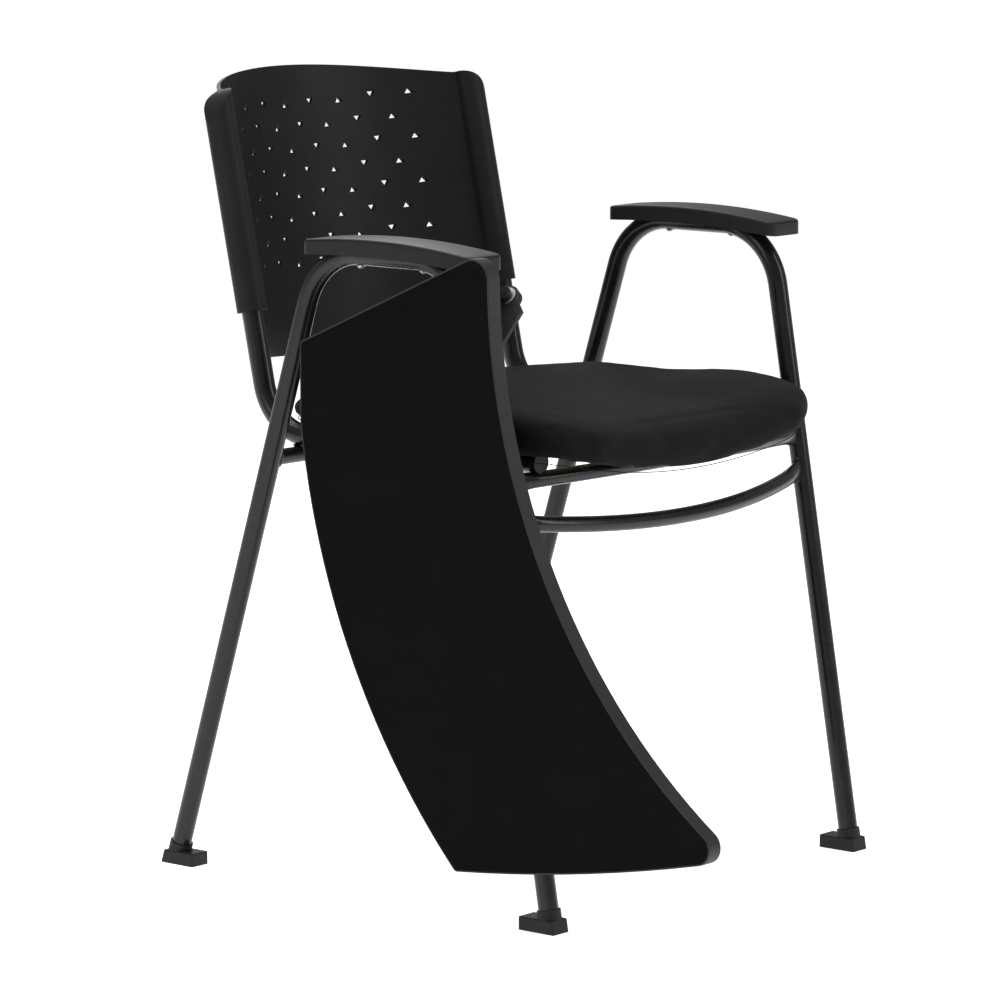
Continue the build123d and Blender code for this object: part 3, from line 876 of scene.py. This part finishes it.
# ---------------------------------------------------------------- seat
SEAT_MIDDLE_Y = -40.0
SEAT_HALF_FRONT = 222.0
SEAT_HALF_REAR = 205.0
SEAT_FRONT_Y = -240.0
SEAT_REAR_Y = 165.0
SEAT_BULGE = 7.0
SEAT_CORNER_FRONT = 62.0
SEAT_CORNER_REAR = 76.0
SEAT_BASE = 467.6
SEAT_CROWN = 474.0
RIM_RISE = 14.0
RIM_REAR_SINK = 0.55
RIM_FRONT_SINK = 0.45
CREST_RISE = 6.0
CREST_Y = -150.0
CREST_SPREAD = 60.0
FRONT_FALL = 9.0
EDGE_LEVEL = 461.5
EDGE_SIDE_DROP = 15.0
EDGE_FRONT_DROP = 21.0
EDGE_CORNER_LIFT = 20.0
WRAP = 10.0
WRAP_FRONT_MORE = 5.0
CORNER_STEPS = 24
OUTLINE_COUNT = 144
SEAM_COUNT = 160
TOP_SHARES = (0.14, 0.28, 0.42, 0.55, 0.67, 0.78, 0.87, 0.94)
ROLL_STEPS = 9
ROLL_FULLNESS = 0.8
COVER_VOXEL = 0.0045
SWELL_FRAMES = 20
BASE_MARGIN = 0.001
SMOOTH_PASSES = 4


def rounded_outline(count):
    """Points round the seat's plan outline, evenly spaced, in millimetres, front first."""
    corners = [
        (SEAT_HALF_FRONT, SEAT_FRONT_Y, SEAT_CORNER_FRONT),
        (SEAT_HALF_REAR, SEAT_REAR_Y, SEAT_CORNER_REAR),
        (-SEAT_HALF_REAR, SEAT_REAR_Y, SEAT_CORNER_REAR),
        (-SEAT_HALF_FRONT, SEAT_FRONT_Y, SEAT_CORNER_FRONT),
    ]
    dense = []
    for index, (x, y, radius) in enumerate(corners):
        here = Vector((x, y))
        before = (Vector(corners[index - 1][:2]) - here).normalized()
        after = (Vector(corners[(index + 1) % 4][:2]) - here).normalized()
        half_turn = before.angle(after) / 2
        reach = radius / math.tan(half_turn)
        centre = here + (before + after).normalized() * radius / math.sin(half_turn)
        start = here + before * reach - centre
        for step in range(CORNER_STEPS + 1):
            turn = (math.pi - 2 * half_turn) * step / CORNER_STEPS
            dense.append(centre + Matrix.Rotation(turn, 2) @ start)
    dense.append(dense[0])
    lengths = [0.0]
    for a, b in zip(dense, dense[1:]):
        lengths.append(lengths[-1] + (b - a).length)
    points = []
    piece = 0
    for step in range(count):
        target = lengths[-1] * step / count
        while lengths[piece + 1] < target:
            piece += 1
        share = (target - lengths[piece]) / max(lengths[piece + 1] - lengths[piece], 1e-9)
        point = dense[piece].lerp(dense[piece + 1], share)
        if point.y < SEAT_FRONT_Y + 1.0:
            point.y -= SEAT_BULGE * (1 - (point.x / SEAT_HALF_FRONT) ** 2)
        points.append(point)
    return points


def smoothstep(low, high, value):
    share = min(max((value - low) / (high - low), 0.0), 1.0)
    return share * share * (3 - 2 * share)


def seat_top(x, y):
    """Height of the seat's top: a dished middle, raised side rims and a dropped front."""
    rear = RIM_REAR_SINK * smoothstep(30.0, 140.0, y)
    front = RIM_FRONT_SINK * smoothstep(-90.0, -210.0, y)
    rim = RIM_RISE * (1.0 - rear - front) * smoothstep(0.25, 0.95, abs(x) / 215.0)
    bell = math.exp(-(((y - CREST_Y) / CREST_SPREAD) ** 2))
    crest = CREST_RISE * bell * smoothstep(0.35, 0.8, abs(x) / 200.0)
    fall = FRONT_FALL * smoothstep(-205.0, -246.0, y)
    return SEAT_CROWN + rim + crest - fall


def seat_low(x, y):
    """Height of the cover's lower edge: deep at the front, shallow at the rear."""
    front = smoothstep(-120.0, -215.0, y)
    side = smoothstep(70.0, 30.0, y)
    corner = EDGE_CORNER_LIFT * (abs(x) / 200.0) ** 2
    return EDGE_LEVEL - EDGE_SIDE_DROP * side - front * (EDGE_FRONT_DROP - corner)


def seat_inset(y):
    """How far the cover's wrap reaches in under its own edge."""
    return WRAP + WRAP_FRONT_MORE * smoothstep(-190.0, -225.0, y)


def seat_shape():
    """The seat as one closed skin of rings, from its middle over the edge to the underside."""
    outline = rounded_outline(OUTLINE_COUNT)
    middle = Vector((0, SEAT_MIDDLE_Y))
    work = bmesh.new()
    rings = []
    crown = work.verts.new(at(0, SEAT_MIDDLE_Y, seat_top(0, SEAT_MIDDLE_Y)))
    for share in TOP_SHARES:
        ring = []
        for point in outline:
            flat = middle + (point - middle) * share
            ring.append(work.verts.new(at(flat.x, flat.y, seat_top(flat.x, flat.y))))
        rings.append(ring)
    for step in range(ROLL_STEPS + 1):
        angle = math.pi * (step / ROLL_STEPS)
        ring = []
        for point in outline:
            edge = middle + (point - middle) * TOP_SHARES[-1]
            inward = (middle - point).normalized()
            upper = seat_top(edge.x, edge.y) - 1.0
            lower = seat_low(point.x, point.y)
            height = (upper + lower) / 2 + (upper - lower) / 2 * math.cos(angle)
            reach = (point - edge).length if angle < math.pi / 2 else seat_inset(point.y)
            flat = point + inward * reach * (1 - math.sin(angle) ** ROLL_FULLNESS)
            ring.append(work.verts.new(at(flat.x, flat.y, height)))
        rings.append(ring)
    for extra in (1.0, 60.0):
        ring = []
        for point in outline:
            inward = (middle - point).normalized()
            flat = point + inward * (seat_inset(point.y) + extra)
            ring.append(work.verts.new(at(flat.x, flat.y, SEAT_BASE)))
        rings.append(ring)
    base = work.verts.new(at(0, SEAT_MIDDLE_Y, SEAT_BASE))
    for upper, lower in zip(rings, rings[1:]):
        for i in range(OUTLINE_COUNT):
            j = (i + 1) % OUTLINE_COUNT
            work.faces.new((upper[i], upper[j], lower[j], lower[i]))
    for i in range(OUTLINE_COUNT):
        j = (i + 1) % OUTLINE_COUNT
        work.faces.new((crown, rings[0][j], rings[0][i]))
        work.faces.new((base, rings[-1][i], rings[-1][j]))
    bmesh.ops.recalc_face_normals(work, faces=work.faces)
    return work


def swell(piece, sizes):
    """Puffs the cover by cloth pressure, with no point moving further than the limit."""
    remesh = piece.modifiers.new("even skin", "REMESH")
    remesh.mode = "VOXEL"
    remesh.voxel_size = COVER_VOXEL
    mesh = evaluated(piece)
    piece.modifiers.clear()
    piece.data = mesh
    start = [vertex.co.copy() for vertex in mesh.vertices]
    cloth = piece.modifiers.new("cover", "CLOTH")
    cloth.settings.use_pressure = True
    cloth.settings.uniform_pressure_force = sizes.seat_puff
    cloth.settings.effector_weights.gravity = 0
    cloth.settings.quality = 5
    scene = bpy.context.scene
    for number in range(1, SWELL_FRAMES + 1):
        scene.frame_set(number)
    puffed = evaluated(piece)
    piece.modifiers.clear()
    for vertex, home in zip(puffed.vertices, start):
        move = vertex.co - home
        if move.length > sizes.seat_puff_limit:
            vertex.co = home + move.normalized() * sizes.seat_puff_limit
        if home.z < SEAT_BASE * MM + BASE_MARGIN and vertex.co.z < home.z:
            vertex.co.z = home.z
    piece.data = puffed
    scene.frame_set(1)
    work = bmesh.new()
    work.from_mesh(piece.data)
    for _ in range(SMOOTH_PASSES):
        bmesh.ops.smooth_vert(
            work, verts=work.verts, factor=0.5, use_axis_x=True, use_axis_y=True, use_axis_z=True
        )
    work.to_mesh(piece.data)
    work.free()
    piece.data.shade_smooth()


class CHAIR_OT_seat(bpy.types.Operator):
    """Upholstered seat, its seam and the plywood pan under it"""

    bl_idname = "chair.seat"
    bl_label = "Seat"

    def execute(self, context):
        sizes = context.scene.chair_sizes
        seat = from_bmesh("seat_cover", seat_shape())
        swell(seat, sizes)
        finer = seat.modifiers.new("finer", "SUBSURF")
        finer.levels = 1
        finer.render_levels = 1
        paint(seat, "seat_fabric")
        settle(seat, "chair", ["seat_cushion"])
        softened("seat_pan", 0.0012)
        outline = rounded_outline(SEAM_COUNT)
        middle = Vector((0, SEAT_MIDDLE_Y))
        seam = []
        for point in outline:
            inward = (middle - point).normalized()
            flat = point + inward * (seat_inset(point.y) - 1.0)
            seam.append(at(flat.x, flat.y, seat_low(point.x, point.y) - 0.6))
        stitches = polyline_mesh("seat_stitches", [seam], closed=True)
        values = {
            "Pitch": sizes.stitch_pitch,
            "Thread": 0.0005,
            "Finish": material("seat_fabric"),
        }
        grown(stitches, stitch_group, values)
        settle(stitches, "chair")
        return {"FINISHED"}


# ---------------------------------------------------------------- tablet and hinge
class CHAIR_OT_tablet(bpy.types.Operator):
    """Writing tablet, its edge band and its hinge"""

    bl_idname = "chair.tablet"
    bl_label = "Tablet and hinge"

    def execute(self, context):
        softened("tablet_board", 0.0002)
        softened("tablet_edging", 0.0009, 3)
        for node in ("hinge_arm", "hinge_bracket"):
            softened(node, 0.0006)
        for node in ("pivot_bolt", "pivot_nut", "pivot_washers"):
            softened(node, 0.0003)
        return {"FINISHED"}


# ---------------------------------------------------------------- screws
HEAD_TURNS = 24
HEAD_PROFILE = (
    (0.0, 0.62),
    (0.35, 0.6),
    (0.65, 0.5),
    (0.88, 0.3),
    (0.98, 0.12),
    (1.0, 0.0),
    (0.5, 0.0),
    (0.48, -1.6),
    (0.0, -1.6),
)
PAD_SCREW_RUN = (-88.0, -7.0)
PAD_SCREW_GAP = 0.2
PAD_SCREW_SIZE = 0.0044
SHELL_SCREW_LEVELS = (150.0, 280.0)
SHELL_SCREW_DEPTH = 15.4
SHELL_SCREW_SIZE = 0.0042
BOARD_SCREW_SIZE = 0.0036
BOARD_SCREW_HEAD = 0.0024


def pan_head():
    """A domed screw head of radius 1 with a cross recess and a short shank, facing +Z."""
    work = bmesh.new()
    rings = []
    for radius, height in HEAD_PROFILE:
        if radius == 0:
            rings.append([work.verts.new((0, 0, height))])
            continue
        ring = []
        for step in range(HEAD_TURNS):
            angle = math.tau * step / HEAD_TURNS
            ring.append(work.verts.new((radius * math.cos(angle), radius * math.sin(angle), height)))
        rings.append(ring)
    for upper, lower in zip(rings, rings[1:]):
        for i in range(HEAD_TURNS):
            j = (i + 1) % HEAD_TURNS
            turned = ((upper, i), (lower, i), (lower, j), (upper, j))
            corners = [ring[index % len(ring)] for ring, index in turned]
            work.faces.new(list(dict.fromkeys(corners)))
    bmesh.ops.recalc_face_normals(work, faces=work.faces)
    head = from_bmesh("pan_head", work)
    for turn in (0.0, math.pi / 2):
        slot = bmesh.new()
        bmesh.ops.create_cube(slot, size=1.0)
        shape = Matrix.Rotation(turn, 4, "Z") @ Matrix.Diagonal((1.05, 0.2, 0.5, 1.0))
        bmesh.ops.transform(slot, matrix=Matrix.Translation((0, 0, 0.56)) @ shape, verts=slot.verts)
        cutter = from_bmesh("recess_cutter", slot, smooth=False)
        cut = head.modifiers.new("recess", "BOOLEAN")
        cut.operation = "DIFFERENCE"
        cut.object = cutter
        cut.solver = "EXACT"
        head.data = evaluated(head)
        head.modifiers.clear()
        bpy.data.objects.remove(cutter)
    return head


def screw_set(name, head, places, size, body, node):
    """Screws at (point, direction) places, standing for a CAD node of screws."""
    mesh = bpy.data.meshes.new(name)
    mesh.from_pydata([tuple(point) for point, _ in places], [], [])
    aim = mesh.attributes.new("aim", "FLOAT_VECTOR", "POINT")
    for index, (_, direction) in enumerate(places):
        aim.data[index].vector = direction
    piece = link(name, mesh)
    grown(piece, screw_group, {"Head": head, "Size": size, "Finish": material("screw_steel")})
    settle(piece, body, [node])


class CHAIR_OT_screws(bpy.types.Operator):
    """Pan-head screws of the arm pads, back shell and hinge, and the seat bolts"""

    bl_idname = "chair.screws"
    bl_label = "Screws"

    def execute(self, context):
        head = pan_head()
        down = Vector((0, 0, -1))
        tube = context.scene.chair_sizes.leg_radius / MM
        for name, side in SIDES.items():
            level = ARM_LEVEL - tube - PAD_SCREW_GAP
            places = [(at(side * SIDE_X, y, level), down) for y in PAD_SCREW_RUN]
            screw_set(f"pad_screws_{name}", head, places, PAD_SCREW_SIZE, "chair", f"arm_screws_{name}")
        rear = lean_direction(1, 0)
        places = [
            (lean_point(side * SEAT_X, SHELL_SCREW_DEPTH, level), rear)
            for side in SIDES.values()
            for level in SHELL_SCREW_LEVELS
        ]
        screw_set("shell_screws", head, places, SHELL_SCREW_SIZE, "chair", "back_shell_screws")
        low, high = (Vector(corner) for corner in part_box("hinge_arm_screws"))
        edge = BOARD_SCREW_SIZE
        inner = high.x - BOARD_SCREW_HEAD
        places = [
            (Vector((inner, y, z)), Vector((1, 0, 0)))
            for y in (low.y + edge, high.y - edge)
            for z in (low.z + edge, high.z - edge)
        ]
        screw_set("board_screws", head, places, BOARD_SCREW_SIZE, "tablet", "hinge_arm_screws")
        bpy.data.objects.remove(head)
        softened("seat_bolts", 0.0005)
        softened("seat_inserts", 0.0)
        return {"FINISHED"}


# ---------------------------------------------------------------- stage
CAMERA_FROM_FEET = (-3992.6, -3309.1, 1134.8)
CAMERA_AIM = (0.7597, 0.6337, -0.1459)
LIGHT_TARGET = Vector((0, 0, 0.4))
LIGHTS = (
    ("overhead", (-0.2, 0.2, 2.6), (2.6, 2.6), 60.0),
    ("left_front", (-2.8, 0.6, 1.5), (0.7, 2.2), 14.0),
    ("right_front", (1.2, -3.0, 1.6), (0.6, 2.4), 26.0),
    ("behind", (2.0, 2.4, 1.8), (1.2, 2.0), 24.0),
)
BACKDROP_STRENGTH = 1.1
FILL_STRENGTH = 0.30
FLOOR_SIZE = 40.0


def area_light(name, place, target, size, power):
    light = bpy.data.lights.new(name, "AREA")
    light.shape = "RECTANGLE"
    light.size, light.size_y = size
    light.energy = power
    lamp = bpy.data.objects.new(name, light)
    bpy.context.scene.collection.objects.link(lamp)
    lamp.location = place
    lamp.rotation_mode = "QUATERNION"
    lamp.rotation_quaternion = (Vector(target) - Vector(place)).to_track_quat("-Z", "Y")


class CHAIR_OT_stage(bpy.types.Operator):
    """Pale floor, soft studio light and the camera"""

    bl_idname = "chair.stage"
    bl_label = "Stage"

    def execute(self, context):
        scene = context.scene
        work = bmesh.new()
        bmesh.ops.create_grid(work, x_segments=8, y_segments=8, size=FLOOR_SIZE)
        floor = from_bmesh("floor", work)
        paint(floor, "floor_white")

        world = bpy.data.worlds.new("studio")
        world.use_nodes = True
        world.node_tree.nodes.clear()
        tree = Tree(world.node_tree)
        straight = tree.node("ShaderNodeLightPath", output="Is Camera Ray")
        seen, fill = (
            tree.node("ShaderNodeBackground", inputs={"Color": (1, 1, 1, 1), "Strength": strength})
            for strength in (BACKDROP_STRENGTH, FILL_STRENGTH)
        )
        mixed = tree.node("ShaderNodeMixShader", inputs={0: straight, 1: fill, 2: seen})
        tree.node("ShaderNodeOutputWorld", inputs={"Surface": mixed})
        scene.world = world

        middle = ORIGIN + LIGHT_TARGET
        for name, offset, size, power in LIGHTS:
            area_light(name, middle + Vector(offset), middle, size, power)

        camera_data = bpy.data.cameras.new("camera")
        camera_data.sensor_width = 36.0
        camera_data.lens = scene.chair_sizes.camera_lens
        camera_data.clip_start = 0.1
        camera_data.clip_end = 100.0
        camera = bpy.data.objects.new("camera", camera_data)
        scene.collection.objects.link(camera)
        camera.location = at(*CAMERA_FROM_FEET)
        camera.rotation_mode = "QUATERNION"
        camera.rotation_quaternion = Vector(CAMERA_AIM).to_track_quat("-Z", "Y")
        scene.camera = camera
        scene.view_settings.view_transform = "Standard"
        scene.view_settings.look = "None"
        return {"FINISHED"}


# ---------------------------------------------------------------- add-on
OPERATORS = (
    CHAIR_OT_stage,
    CHAIR_OT_side_frames,
    CHAIR_OT_back_tubes,
    CHAIR_OT_cross_tubes,
    CHAIR_OT_back_shell,
    CHAIR_OT_plastic_trim,
    CHAIR_OT_seat,
    CHAIR_OT_tablet,
    CHAIR_OT_screws,
)


class CHAIR_PT_sidebar(bpy.types.Panel):
    """Lists the chair's pieces, sizes and colours"""

    bl_idname = "CHAIR_PT_sidebar"
    bl_label = "Desk Chair"
    bl_space_type = "VIEW_3D"
    bl_region_type = "UI"
    bl_category = "Desk Chair"

    def draw(self, context):
        column = self.layout.column()
        for operator in OPERATORS:
            column.operator(operator.bl_idname)
        for group in (context.scene.chair_sizes, context.scene.chair_colours):
            for name in group.__annotations__:
                column.prop(group, name)


CLASSES = (ChairSizes, ChairColours, *OPERATORS, CHAIR_PT_sidebar)


def register():
    for item in CLASSES:
        bpy.utils.register_class(item)
    bpy.types.Scene.chair_sizes = bpy.props.PointerProperty(type=ChairSizes)
    bpy.types.Scene.chair_colours = bpy.props.PointerProperty(type=ChairColours)


def unregister():
    del bpy.types.Scene.chair_colours
    del bpy.types.Scene.chair_sizes
    for item in reversed(CLASSES):
        bpy.utils.unregister_class(item)


def main():
    register()
    for operator in OPERATORS:
        group, name = operator.bl_idname.split(".")
        getattr(getattr(bpy.ops, group), name)()


if __name__ == "__main__":
    main()
